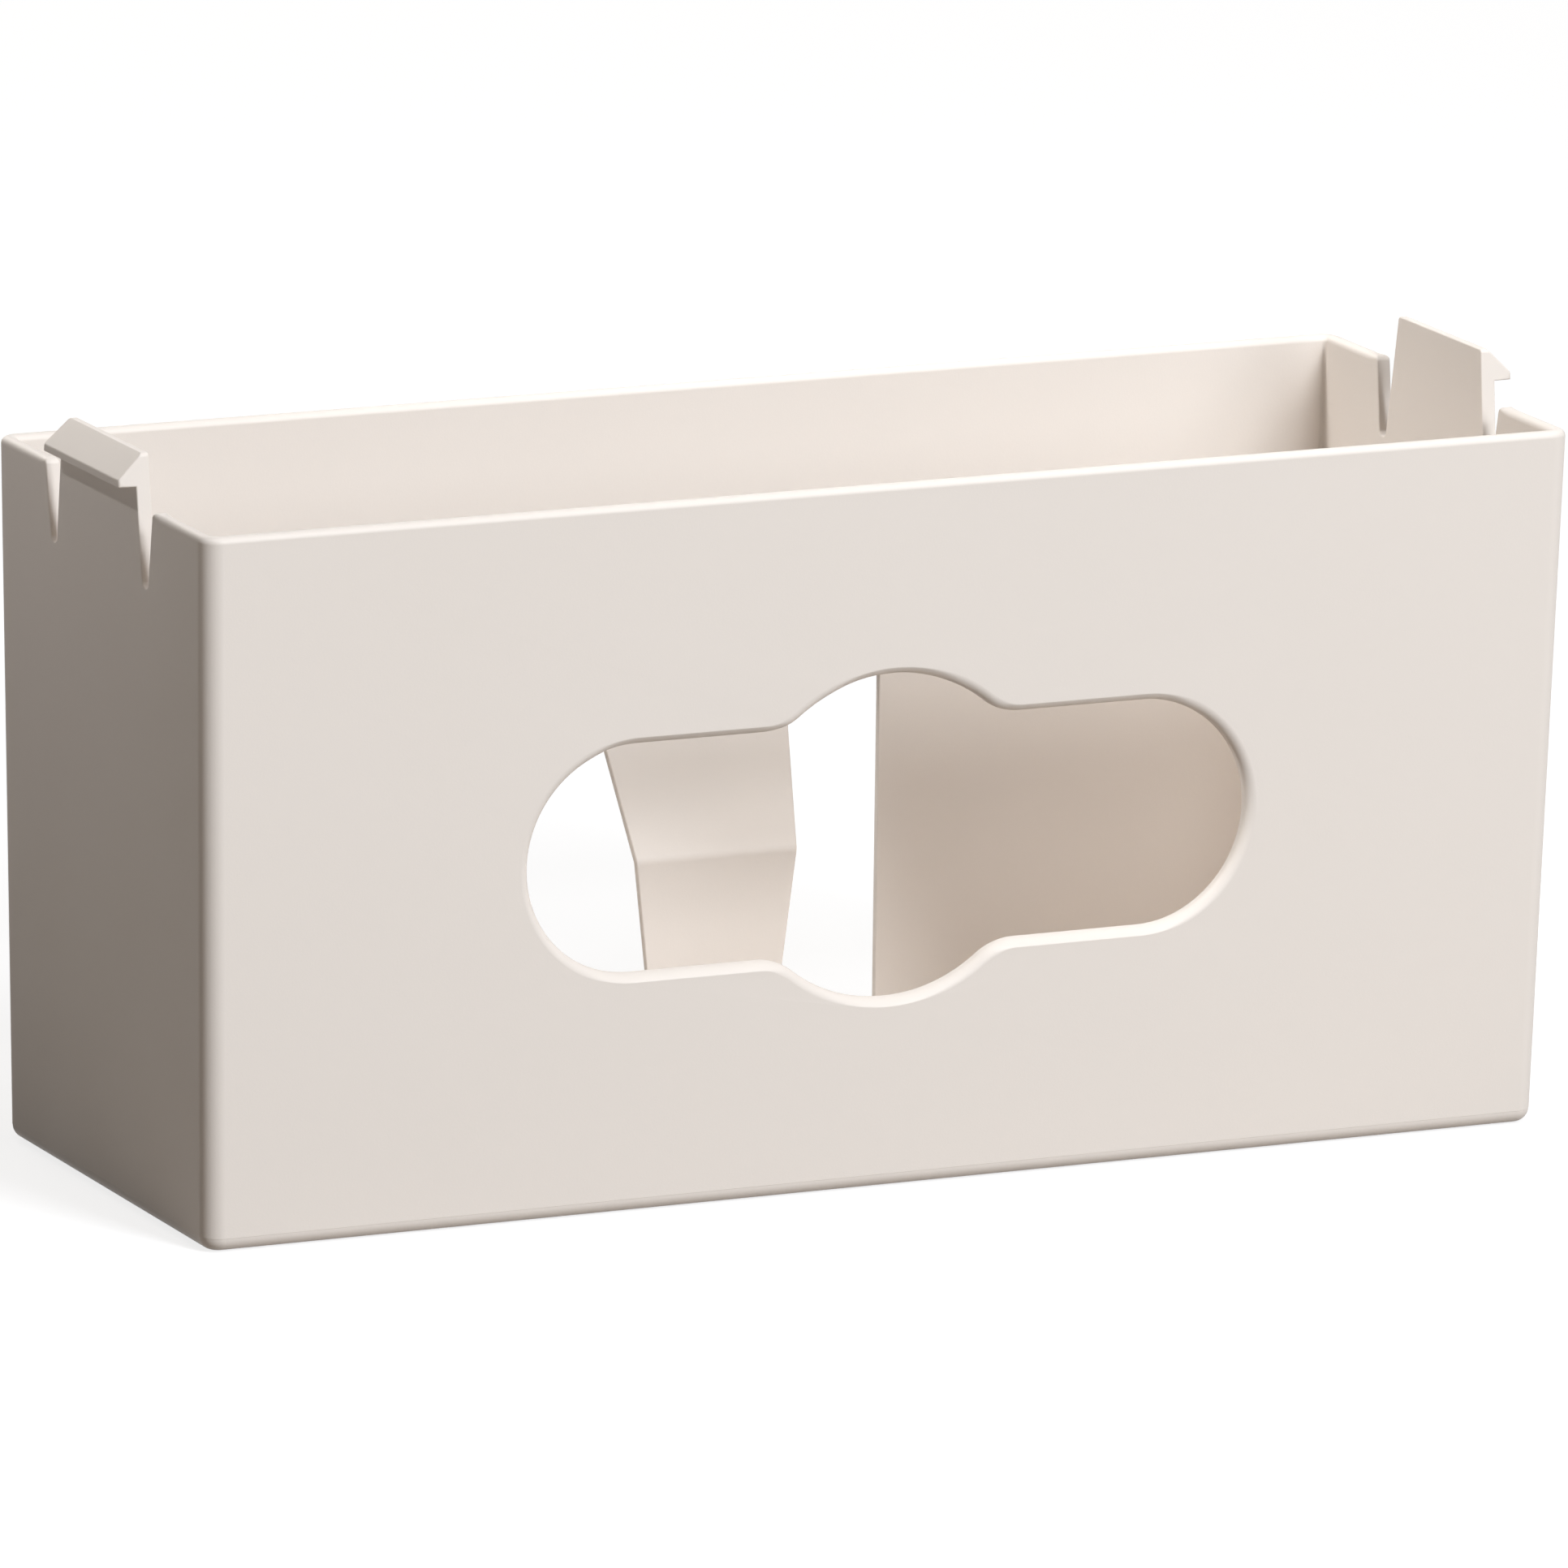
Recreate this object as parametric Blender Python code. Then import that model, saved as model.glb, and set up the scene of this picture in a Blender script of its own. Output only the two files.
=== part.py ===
"""Disposable glove dispenser: an open-topped bin for one box of gloves, moulded in one piece.

The origin is the middle of the underside, +X runs along the bin, +Y points to its back wall and +Z up.
All sizes are in metres. The bin is lofted from rounded rectangles, from its base to its round rim, with
its end walls taller where the snap tabs stand. The hooks are joined on, cutters bevel the tabs, free them
with two slots each and open the front and back walls, and the spring tongue is joined on last.
"""

import math

import bmesh
import bpy

# Box of the bin, measured outside
RIM_LENGTH = 0.260
RIM_DEPTH = 0.0925
BASE_LENGTH = 0.255
BASE_DEPTH = 0.089
HEIGHT = 0.125
WALL = 0.0027
FLOOR = 0.0027

# Rounded edges of the bin
CORNER_RADIUS = 0.0035
LEAST_CORNER_RADIUS = 0.0008
BASE_EDGE_RADIUS = 0.0024
FLOOR_EDGE_RADIUS = 0.0012
RIM_EDGE_RADIUS = 0.0012
LIP_RADIUS = 0.0018

# Dispensing opening in the front wall, at half its height
OPENING_LENGTH = 0.1372
OPENING_HEIGHT = 0.0404
OPENING_CENTRE_DIAMETER = 0.0574
OPENING_FILLET = 0.0112

# Snap tab in each end wall, between two slots
TAB_WIDTH = 0.0341
TAB_SIDE_LEAN = math.radians(7.6)
TAB_RISE = 0.0088
TAB_TOP_THICKNESS = 0.0013
TAB_TOP_RADIUS = 0.0008
SLOT_WIDTH = 0.0064
SLOT_SIDE_LEAN = math.radians(9.4)
SLOT_DEPTH = 0.0138
SLOT_END_RADIUS = 0.0013
SLOT_MOUTH_RADIUS = 0.0011

# Hook along the top of a tab
HOOK_REACH = 0.0033
HOOK_UNDERSIDE_RISE = 0.0031
HOOK_NOSE_HEIGHT = 0.0013
HOOK_EDGE_RADIUS = 0.0003

# Window in the back wall
WINDOW_WIDTH = 0.0787
WINDOW_SILL_HEIGHT = 0.007
WINDOW_TOP_BELOW_RIM = 0.0445
WINDOW_CORNER_RADIUS = 0.003

# Spring tongue that hangs from the window's top
TONGUE_THICKNESS = 0.0020
TONGUE_ROOT_WIDTH = 0.0400
TONGUE_CREASE_WIDTH = 0.0308
TONGUE_END_WIDTH = 0.0242
TONGUE_REACH = 0.0168
TONGUE_CREASE_HEIGHT = 0.0435
TONGUE_END_HEIGHT = 0.014
TONGUE_ROOT_BEND = 0.008
TONGUE_CREASE_BEND = 0.0015
TONGUE_END_RADIUS = 0.004
TONGUE_BACK_EDGE_RADIUS = 0.0010
TONGUE_ROOT_OVERLAP = 0.006

# Fineness of round stretches, in steps for a quarter turn
CORNER_STEPS = 6
EDGE_STEPS = 5
OUTLINE_STEPS = 12
BEND_STEPS = 6
SMALL_STEPS = 3

# How far a cutter stands clear of what it cuts, and how far its end runs past a tangent
CLEAR = 0.005
OVERRUN = 0.0003

# Most that a rounded edge takes of the thickness that it rounds off
ROUNDING_LIMIT = 0.9

QUARTER = math.pi / 2
SMOOTH_ANGLE = math.radians(30)
PLASTIC_COLOUR = (0.79, 0.74, 0.68, 1.0)
PLASTIC_ROUGHNESS = 0.42


def clear_scene():
    """Remove every object that the scene starts with."""
    for obj in list(bpy.data.objects):
        bpy.data.objects.remove(obj, do_unlink=True)


def make_plastic():
    """Off-white moulded plastic with a satin finish."""
    material = bpy.data.materials.new("off_white_plastic")
    material.use_nodes = True
    shader = material.node_tree.nodes["Principled BSDF"]
    shader.inputs["Base Color"].default_value = PLASTIC_COLOUR
    shader.inputs["Roughness"].default_value = PLASTIC_ROUGHNESS
    shader.inputs["Metallic"].default_value = 0.0
    return material


def make_object(name, mesh_builder):
    """Link a new object whose mesh holds the closed surfaces in mesh_builder."""
    bmesh.ops.recalc_face_normals(mesh_builder, faces=mesh_builder.faces)
    mesh = bpy.data.meshes.new(name)
    mesh_builder.to_mesh(mesh)
    mesh_builder.free()
    mesh.shade_smooth()
    mesh.set_sharp_from_angle(angle=SMOOTH_ANGLE)
    obj = bpy.data.objects.new(name, mesh)
    bpy.context.scene.collection.objects.link(obj)
    return obj


def loft(mesh_builder, rings):
    """Join equal rings of points into a closed body, with a face over each end."""
    layers = [[mesh_builder.verts.new(point) for point in ring] for ring in rings]
    count = len(layers[0])
    for lower, upper in zip(layers, layers[1:]):
        for i in range(count):
            j = (i + 1) % count
            mesh_builder.faces.new((lower[i], lower[j], upper[j], upper[i]))
    mesh_builder.faces.new(reversed(layers[0]))
    mesh_builder.faces.new(layers[-1])


def quarter_angles(steps):
    """Angles from nothing to a quarter turn."""
    return [QUARTER * i / steps for i in range(steps + 1)]


def arc(centre, radius, start, sweep, steps):
    """Points along an arc, both ends included."""
    angles = [start + sweep * i / steps for i in range(steps + 1)]
    return [(centre[0] + radius * math.cos(a), centre[1] + radius * math.sin(a)) for a in angles]


def rounded_corner(before, corner, after, radius, steps):
    """The arc of this radius that rounds off a corner, kept within half of each side beside it."""
    if radius <= 0.0:
        return [corner]
    to_before = (before[0] - corner[0], before[1] - corner[1])
    to_after = (after[0] - corner[0], after[1] - corner[1])
    length_before = math.hypot(*to_before)
    length_after = math.hypot(*to_after)
    unit_before = (to_before[0] / length_before, to_before[1] / length_before)
    unit_after = (to_after[0] / length_after, to_after[1] / length_after)
    cosine = unit_before[0] * unit_after[0] + unit_before[1] * unit_after[1]
    half_angle = math.acos(max(-1.0, min(1.0, cosine))) / 2
    tangent = min(radius / math.tan(half_angle), length_before / 2, length_after / 2)
    radius = tangent * math.tan(half_angle)
    middle = (unit_before[0] + unit_after[0], unit_before[1] + unit_after[1])
    scale = radius / math.sin(half_angle) / math.hypot(*middle)
    centre = (corner[0] + middle[0] * scale, corner[1] + middle[1] * scale)
    first = (corner[0] + unit_before[0] * tangent, corner[1] + unit_before[1] * tangent)
    last = (corner[0] + unit_after[0] * tangent, corner[1] + unit_after[1] * tangent)
    start = math.atan2(first[1] - centre[1], first[0] - centre[0])
    end = math.atan2(last[1] - centre[1], last[0] - centre[0])
    sweep = (end - start + math.pi) % (2 * math.pi) - math.pi
    return arc(centre, radius, start, sweep, steps)


def rounded_outline(corners):
    """A closed outline from (point, radius, steps) corners."""
    outline = []
    for i, (point, radius, steps) in enumerate(corners):
        before = corners[i - 1][0]
        after = corners[(i + 1) % len(corners)][0]
        outline.extend(rounded_corner(before, point, after, radius, steps))
    return outline


def half_length(z):
    """Half the bin's outside length at a height: the end walls lean out by their draft."""
    return BASE_LENGTH / 2 + (RIM_LENGTH - BASE_LENGTH) / 2 * z / HEIGHT


def half_depth(z):
    """Half the bin's outside depth at a height."""
    return BASE_DEPTH / 2 + (RIM_DEPTH - BASE_DEPTH) / 2 * z / HEIGHT


def corner_radius(inset):
    """Radius of the bin's vertical corners this far inside the outer face."""
    return max(CORNER_RADIUS - inset, LEAST_CORNER_RADIUS)


def wall_ring(inset, z, tab_z):
    """Rounded rectangle this far inside the outer faces, at a height, and at another where the tabs stand.

    The end walls step from one height to the other over the middle of each slot, where the slots are cut.
    """
    x = half_length(z) - inset
    y = half_depth(z) - inset
    radius = corner_radius(inset)
    right = arc((x - radius, y - radius), radius, 0.0, QUARTER, CORNER_STEPS)
    left = arc((radius - x, y - radius), radius, QUARTER, QUARTER, CORNER_STEPS)
    tab_x = half_length(tab_z) - inset
    step_start = TAB_WIDTH / 2 + SLOT_WIDTH / 3
    step_end = TAB_WIDTH / 2 + 2 * SLOT_WIDTH / 3
    half = [(px, py, z) for px, py in right + left]
    half += [(-x, step_end, z), (-tab_x, step_start, tab_z)]
    half += [(-tab_x, -step_start, tab_z), (-x, -step_end, z)]
    return half + [(-px, -py, pz) for px, py, pz in half]


def rim_profile():
    """The rim's round top, as (inset, depth below the top) points from outside in."""
    radius = min(RIM_EDGE_RADIUS, ROUNDING_LIMIT * WALL / 2)
    outer = [(radius * (1 - math.cos(a)), radius * (1 - math.sin(a))) for a in quarter_angles(EDGE_STEPS)]
    return outer + [(WALL - inset, drop) for inset, drop in reversed(outer)]


def build_bin():
    """The cup of the bin, with its round rim, and end walls that stand up over the tops of the tabs."""
    rings = []
    for angle in quarter_angles(EDGE_STEPS):
        inset = BASE_EDGE_RADIUS * (1 - math.sin(angle))
        z = BASE_EDGE_RADIUS * (1 - math.cos(angle))
        rings.append(wall_ring(inset, z, z))
    tab_top = HEIGHT + TAB_RISE + CLEAR
    for inset, drop in rim_profile():
        rings.append(wall_ring(inset, HEIGHT - drop, tab_top - drop))
    for angle in reversed(quarter_angles(SMALL_STEPS)):
        inset = WALL + FLOOR_EDGE_RADIUS * (1 - math.sin(angle))
        z = FLOOR + FLOOR_EDGE_RADIUS * (1 - math.cos(angle))
        rings.append(wall_ring(inset, z, z))
    mesh_builder = bmesh.new()
    loft(mesh_builder, rings)
    return make_object("dispenser_body", mesh_builder)


def add_boolean(target, tool, operation):
    """Cut or join a tool object, which stays in the file as a hidden guide."""
    modifier = target.modifiers.new(f"{operation.lower()} {tool.name}", "BOOLEAN")
    modifier.operation = operation
    modifier.solver = "EXACT"
    modifier.object = tool
    tool.hide_render = True
    tool.display_type = "WIRE"


def run_past(first, second, distance):
    """A point this far beyond first, on the line from second to first."""
    dx = first[0] - second[0]
    dy = first[1] - second[1]
    scale = distance / math.hypot(dx, dy)
    return (first[0] + dx * scale, first[1] + dy * scale)


def end_wall_prism(mesh_builder, outline, end):
    """A body across one end wall from an outline of (Y, height) points."""
    inside = RIM_LENGTH / 2 - WALL - CLEAR
    outside = RIM_LENGTH / 2 + HOOK_REACH + CLEAR
    loft(mesh_builder, [[(end * x, y, z) for y, z in outline] for x in (inside, outside)])


def slot_outline(side):
    """Slot beside a tab, as (Y, height) points, open at the top and flared at the rim."""
    top = HEIGHT + TAB_RISE
    clear_top = top + 2 * CLEAR
    bottom = HEIGHT - SLOT_DEPTH
    tab_side = TAB_WIDTH / 2
    far_side = TAB_WIDTH / 2 + SLOT_WIDTH
    tab_top_side = tab_side - TAB_RISE * math.tan(TAB_SIDE_LEAN)
    tab_foot_side = tab_side + SLOT_DEPTH * math.tan(TAB_SIDE_LEAN)
    far_foot_side = far_side - SLOT_DEPTH * math.tan(SLOT_SIDE_LEAN)
    over_tab = tab_top_side - TAB_TOP_RADIUS - CLEAR
    over_rim = far_side + SLOT_MOUTH_RADIUS + CLEAR
    corners = [
        ((over_rim, clear_top), 0.0, 1),
        ((over_tab, clear_top), 0.0, 1),
        ((over_tab, top + OVERRUN), 0.0, 1),
        ((tab_top_side, top), TAB_TOP_RADIUS, SMALL_STEPS),
        ((tab_foot_side, bottom), SLOT_END_RADIUS, SMALL_STEPS),
        ((far_foot_side, bottom), SLOT_END_RADIUS, SMALL_STEPS),
        ((far_side, HEIGHT), SLOT_MOUTH_RADIUS, SMALL_STEPS),
        ((over_rim, HEIGHT + OVERRUN), 0.0, 1),
    ]
    return [(side * y, z) for y, z in rounded_outline(corners)]


def build_slot_cutter():
    """Four slots, two beside each tab."""
    mesh_builder = bmesh.new()
    for end in (-1, 1):
        for side in (-1, 1):
            end_wall_prism(mesh_builder, slot_outline(side), end)
    return make_object("slot_cutter", mesh_builder)


def along_tab(mesh_builder, outline, end, half_width):
    """A body along the top of one tab, from (distance outside the rim, height above the rim) points."""
    rings = []
    for y in (-half_width, half_width):
        rings.append([(end * (RIM_LENGTH / 2 + out), y, HEIGHT + up) for out, up in outline])
    loft(mesh_builder, rings)


def hook_nose_top():
    """Height of the top of the hook's nose above the rim."""
    return HOOK_UNDERSIDE_RISE + HOOK_NOSE_HEIGHT


def build_hooks():
    """The block of each hook, which starts inside the wall and is bevelled later."""
    root = -WALL / 2
    underside = HOOK_UNDERSIDE_RISE
    block_top = (hook_nose_top() + TAB_RISE) / 2
    outline = rounded_outline([
        ((root, underside), 0.0, 1),
        ((HOOK_REACH, underside), HOOK_EDGE_RADIUS, SMALL_STEPS),
        ((HOOK_REACH, block_top), 0.0, 1),
        ((root, block_top), 0.0, 1),
    ])
    mesh_builder = bmesh.new()
    for end in (-1, 1):
        along_tab(mesh_builder, outline, end, TAB_WIDTH / 2 + SLOT_WIDTH / 4)
    return make_object("hooks", mesh_builder)


def build_tab_top_cutter():
    """The space over each tab: level over its top, then down the slope that leads the hook into its seat."""
    inner_face = half_length(HEIGHT + TAB_RISE) - WALL - RIM_LENGTH / 2
    ridge = (inner_face + TAB_TOP_THICKNESS, TAB_RISE)
    nose = (HOOK_REACH, hook_nose_top())
    past_nose = run_past(nose, ridge, CLEAR / 2)
    inside = inner_face - CLEAR
    top = TAB_RISE + 2 * CLEAR
    outline = [(inside, TAB_RISE), ridge, past_nose, (past_nose[0], top), (inside, top)]
    mesh_builder = bmesh.new()
    for end in (-1, 1):
        along_tab(mesh_builder, outline, end, TAB_WIDTH / 2 + SLOT_WIDTH)
    return make_object("tab_top_cutter", mesh_builder)


def opening_outline(grow):
    """Outline of the dispensing opening about its centre, as (X, Z) points, grown outwards by a distance."""
    end_radius = OPENING_HEIGHT / 2 + grow
    centre_radius = OPENING_CENTRE_DIAMETER / 2 + grow
    fillet = OPENING_FILLET - grow
    end_centre = OPENING_LENGTH / 2 - OPENING_HEIGHT / 2
    fillet_z = end_radius + fillet
    fillet_x = math.sqrt((centre_radius + fillet) ** 2 - fillet_z**2)
    lean = math.atan2(fillet_z, fillet_x)
    right_end = arc((end_centre, 0.0), end_radius, -QUARTER, math.pi, 2 * OUTLINE_STEPS)
    right_fillet = arc((fillet_x, fillet_z), fillet, -QUARTER, lean - QUARTER, BEND_STEPS)
    dome = arc((0.0, 0.0), centre_radius, lean, math.pi - 2 * lean, OUTLINE_STEPS)
    left_fillet = [(-x, z) for x, z in reversed(right_fillet)]
    upper = right_end + right_fillet + dome[1:-1] + left_fillet
    return upper + [(-x, -z) for x, z in upper]


def window_outline(grow):
    """Outline of the back window, as (X, Z) points, grown outwards by a distance."""
    x = WINDOW_WIDTH / 2 + grow
    low = WINDOW_SILL_HEIGHT - grow
    high = HEIGHT - WINDOW_TOP_BELOW_RIM + grow
    radius = WINDOW_CORNER_RADIUS + grow
    corners = [(-x, low), (x, low), (x, high), (-x, high)]
    return rounded_outline([(corner, radius, BEND_STEPS) for corner in corners])


def lip_levels():
    """(depth below the outer face, growth) of an opening with a rounded outer edge, from outside in."""
    radius = min(LIP_RADIUS, ROUNDING_LIMIT * WALL)
    lip = [(radius * (1 - math.cos(a)), radius * (1 - math.sin(a))) for a in quarter_angles(EDGE_STEPS)]
    start = run_past(lip[0], lip[1], 2 * OVERRUN)
    return [(-CLEAR, start[1]), start] + lip[1:] + [(WALL + CLEAR, 0.0)]


def build_wall_opening(name, side, outline_at, centre_z):
    """A cutter through the front (side -1) or back (side 1) wall, its sections parallel to that wall."""
    rings = []
    for depth, grow in lip_levels():
        ring = []
        for x, z in outline_at(grow):
            height = centre_z + z
            ring.append((x, side * (half_depth(height) - depth), height))
        rings.append(ring)
    mesh_builder = bmesh.new()
    loft(mesh_builder, rings)
    return make_object(name, mesh_builder)


def tongue_path():
    """Middle line of the tongue, as (Y, height) points from its root inside the wall down to its end."""
    root_z = HEIGHT - WINDOW_TOP_BELOW_RIM
    wall_middle = half_depth(root_z) - WALL / 2
    crease_y = half_depth(TONGUE_CREASE_HEIGHT) - WALL - TONGUE_REACH + TONGUE_THICKNESS / 2
    inside_z = root_z + TONGUE_ROOT_OVERLAP
    inside_y = half_depth(inside_z) - WALL / 2
    corners = [
        (inside_y, inside_z),
        (wall_middle, root_z),
        (crease_y, TONGUE_CREASE_HEIGHT),
        (crease_y, TONGUE_END_HEIGHT),
    ]
    root_bend = rounded_corner(corners[0], corners[1], corners[2], TONGUE_ROOT_BEND, BEND_STEPS)
    crease_radius = TONGUE_CREASE_BEND + TONGUE_THICKNESS / 2
    crease = rounded_corner(corners[1], corners[2], corners[3], crease_radius, SMALL_STEPS)
    return [corners[0]] + root_bend + crease + tongue_end(crease_y)


def tongue_end(y):
    """Points down the tongue's last few millimetres, where its lower corners are rounded."""
    centre_z = TONGUE_END_HEIGHT + TONGUE_END_RADIUS
    return [(y, centre_z - TONGUE_END_RADIUS * math.sin(a)) for a in quarter_angles(BEND_STEPS)]


def tongue_half_width(z):
    """Half the tongue's width at a height."""
    root_z = HEIGHT - WINDOW_TOP_BELOW_RIM
    if z > TONGUE_CREASE_HEIGHT:
        share = (z - TONGUE_CREASE_HEIGHT) / (root_z - TONGUE_CREASE_HEIGHT)
        width = TONGUE_CREASE_WIDTH + share * (TONGUE_ROOT_WIDTH - TONGUE_CREASE_WIDTH)
    else:
        share = (z - TONGUE_END_HEIGHT) / (TONGUE_CREASE_HEIGHT - TONGUE_END_HEIGHT)
        width = TONGUE_END_WIDTH + share * (TONGUE_CREASE_WIDTH - TONGUE_END_WIDTH)
    drop = max(TONGUE_END_HEIGHT + TONGUE_END_RADIUS - z, 0.0)
    trim = TONGUE_END_RADIUS - math.sqrt(max(TONGUE_END_RADIUS**2 - drop**2, 0.0))
    return width / 2 - trim


def tongue_section(half_width):
    """Section of the tongue as (X, distance behind its middle) points, its back edges rounded."""
    half = TONGUE_THICKNESS / 2
    return rounded_outline([
        ((-half_width, -half), 0.0, 1),
        ((half_width, -half), 0.0, 1),
        ((half_width, half), TONGUE_BACK_EDGE_RADIUS, SMALL_STEPS),
        ((-half_width, half), TONGUE_BACK_EDGE_RADIUS, SMALL_STEPS),
    ])


def build_tongue():
    """The leaf spring, swept down its middle line."""
    path = tongue_path()
    rings = []
    for i, (y, z) in enumerate(path):
        before = path[max(i - 1, 0)]
        after = path[min(i + 1, len(path) - 1)]
        dy = after[0] - before[0]
        dz = after[1] - before[1]
        length = math.hypot(dy, dz)
        behind = (-dz / length, dy / length)
        section = tongue_section(tongue_half_width(z))
        rings.append([(x, y + b * behind[0], z + b * behind[1]) for x, b in section])
    mesh_builder = bmesh.new()
    loft(mesh_builder, rings)
    return make_object("tongue", mesh_builder)


def build_dispenser():
    """The whole moulding."""
    body = build_bin()
    add_boolean(body, build_hooks(), "UNION")
    add_boolean(body, build_tab_top_cutter(), "DIFFERENCE")
    add_boolean(body, build_slot_cutter(), "DIFFERENCE")
    front = build_wall_opening("opening_cutter", -1, opening_outline, HEIGHT / 2)
    add_boolean(body, front, "DIFFERENCE")
    back = build_wall_opening("window_cutter", 1, window_outline, 0.0)
    add_boolean(body, back, "DIFFERENCE")
    add_boolean(body, build_tongue(), "UNION")
    body.data.materials.append(make_plastic())


clear_scene()
build_dispenser()
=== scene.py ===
import math
from collections import namedtuple

import bmesh
import bpy
from mathutils import Matrix, Vector
from mathutils.geometry import tessellate_polygon


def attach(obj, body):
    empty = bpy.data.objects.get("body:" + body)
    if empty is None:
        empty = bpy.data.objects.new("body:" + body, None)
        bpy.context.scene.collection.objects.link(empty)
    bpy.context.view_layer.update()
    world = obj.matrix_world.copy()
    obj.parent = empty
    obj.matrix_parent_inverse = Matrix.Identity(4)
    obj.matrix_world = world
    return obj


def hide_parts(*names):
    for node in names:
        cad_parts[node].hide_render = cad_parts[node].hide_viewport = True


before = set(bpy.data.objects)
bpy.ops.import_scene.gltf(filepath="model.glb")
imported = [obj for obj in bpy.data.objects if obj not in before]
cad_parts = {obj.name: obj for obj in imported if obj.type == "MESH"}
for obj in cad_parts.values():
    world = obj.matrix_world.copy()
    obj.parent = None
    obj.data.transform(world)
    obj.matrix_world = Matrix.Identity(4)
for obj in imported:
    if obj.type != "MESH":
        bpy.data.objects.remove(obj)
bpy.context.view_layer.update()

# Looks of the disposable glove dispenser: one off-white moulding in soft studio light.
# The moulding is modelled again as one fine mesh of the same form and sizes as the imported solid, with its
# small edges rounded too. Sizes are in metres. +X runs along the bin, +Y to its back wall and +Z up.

# Box of the bin, measured outside
RIM_LENGTH = 0.260
RIM_DEPTH = 0.0925
BASE_LENGTH = 0.255
BASE_DEPTH = 0.089
HEIGHT = 0.125
WALL = 0.0027
FLOOR = 0.0027

# Rounded edges of the bin, and the fine ledge over its bottom edge
CORNER_RADIUS = 0.0035
INNER_CORNER_RADIUS = 0.0008
BASE_EDGE_RADIUS = 0.0024
FLOOR_EDGE_RADIUS = 0.0012
RIM_EDGE_RADIUS = 0.0012
SMALL_EDGE_RADIUS = 0.0003
MOULD_STEP = 0.00005

# Outer lip of the holes: a plain round that turns into a flatter arc as the hole's edge comes to run level.
# The turn starts where the upright part of the edge's normal reaches LIP_LEVEL_START.
LIP_RADIUS = 0.0018
LIP_ARC_RADIUS = 0.00279
LIP_ARC_ANGLE = math.radians(61)
LIP_LEVEL_START = 0.9

# Dispensing opening in the front wall, at half its height
OPENING_LENGTH = 0.1372
OPENING_HEIGHT = 0.0404
OPENING_CENTRE_DIAMETER = 0.0574
OPENING_FILLET = 0.0112

# Snap tab in each end wall, between two slots. Beside a slot the rim's round edges fade to small ones.
TAB_WIDTH = 0.0341
TAB_SIDE_LEAN = math.radians(7.6)
TAB_RISE = 0.0088
TAB_TOP_THICKNESS = 0.0013
TAB_TOP_RADIUS = 0.0008
SLOT_WIDTH = 0.0064
SLOT_SIDE_LEAN = math.radians(9.4)
SLOT_DEPTH = 0.0138
SLOT_END_RADIUS = 0.0011
SLOT_MOUTH_RADIUS = 0.0011
RIM_FADE_LENGTH = 0.003

# Hook along the top of a tab
HOOK_REACH = 0.0033
HOOK_UNDERSIDE_RISE = 0.0031
HOOK_NOSE_HEIGHT = 0.0013
HOOK_FOOT_RADIUS = 0.00025
HOOK_SLOPE_RADIUS = 0.00055
HOOK_SIDE_RADIUS = 0.00045

# Window in the back wall
WINDOW_WIDTH = 0.0787
WINDOW_SILL_HEIGHT = 0.007
WINDOW_TOP_BELOW_RIM = 0.0445
WINDOW_CORNER_RADIUS = 0.003

# Spring tongue that hangs from the window's top
TONGUE_THICKNESS = 0.0020
TONGUE_ROOT_WIDTH = 0.0400
TONGUE_CREASE_WIDTH = 0.0308
TONGUE_END_WIDTH = 0.0242
TONGUE_REACH = 0.0168
TONGUE_CREASE_HEIGHT = 0.0435
TONGUE_TAPER_HEIGHT = 0.0415
TONGUE_END_HEIGHT = 0.014
TONGUE_ROOT_BEND = 0.008
TONGUE_CREASE_BEND = 0.0015
TONGUE_END_RADIUS = 0.004
TONGUE_BACK_EDGE_RADIUS = 0.0010
TONGUE_ROOT_OVERLAP = 0.006

# Fineness of round stretches: steps for a quarter turn, or for one bend
CORNER_STEPS = 16
EDGE_STEPS = 10
SMALL_EDGE_STEPS = 4
OUTLINE_STEPS = 40
BEND_STEPS = 14
FADE_STEPS = 8

QUARTER = math.pi / 2
MERGE_DISTANCE = 1e-6
SHARP_ANGLE = math.radians(32)
UP = Vector((0.0, 0.0, 1.0))

# Heights, places and leans that follow from the sizes
TAB_TOP = HEIGHT + TAB_RISE
HOOK_UNDERSIDE = HEIGHT + HOOK_UNDERSIDE_RISE
HOOK_NOSE_TOP = HOOK_UNDERSIDE + HOOK_NOSE_HEIGHT
HOOK_NOSE_X = RIM_LENGTH / 2 + HOOK_REACH
WINDOW_TOP = HEIGHT - WINDOW_TOP_BELOW_RIM
END_LEAN = (RIM_LENGTH - BASE_LENGTH) / 2 / HEIGHT
FRONT_LEAN = (RIM_DEPTH - BASE_DEPTH) / 2 / HEIGHT

# Rows of points round the walls' top in one quarter of the bin: the outer and inner edges up to the tab, the
# hook's side, the edge of the slope over the hook, and the inner edge of the tab's top corner
TopRows = namedtuple("TopRows", "outer inner hook slope corner")


def half_length(z):
    """Half the bin's outside length at a height: the end walls lean out by their draft."""
    return BASE_LENGTH / 2 + (RIM_LENGTH - BASE_LENGTH) / 2 * z / HEIGHT


def half_depth(z):
    """Half the bin's outside depth at a height."""
    return BASE_DEPTH / 2 + (RIM_DEPTH - BASE_DEPTH) / 2 * z / HEIGHT


def wall_normal(angle):
    """Outward normal of the wall that faces this way in plan, leaning by its draft."""
    x = math.cos(angle)
    y = math.sin(angle)
    lean = END_LEAN * x * x + FRONT_LEAN * y * y
    return Vector((x, y, -lean)).normalized()


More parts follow.
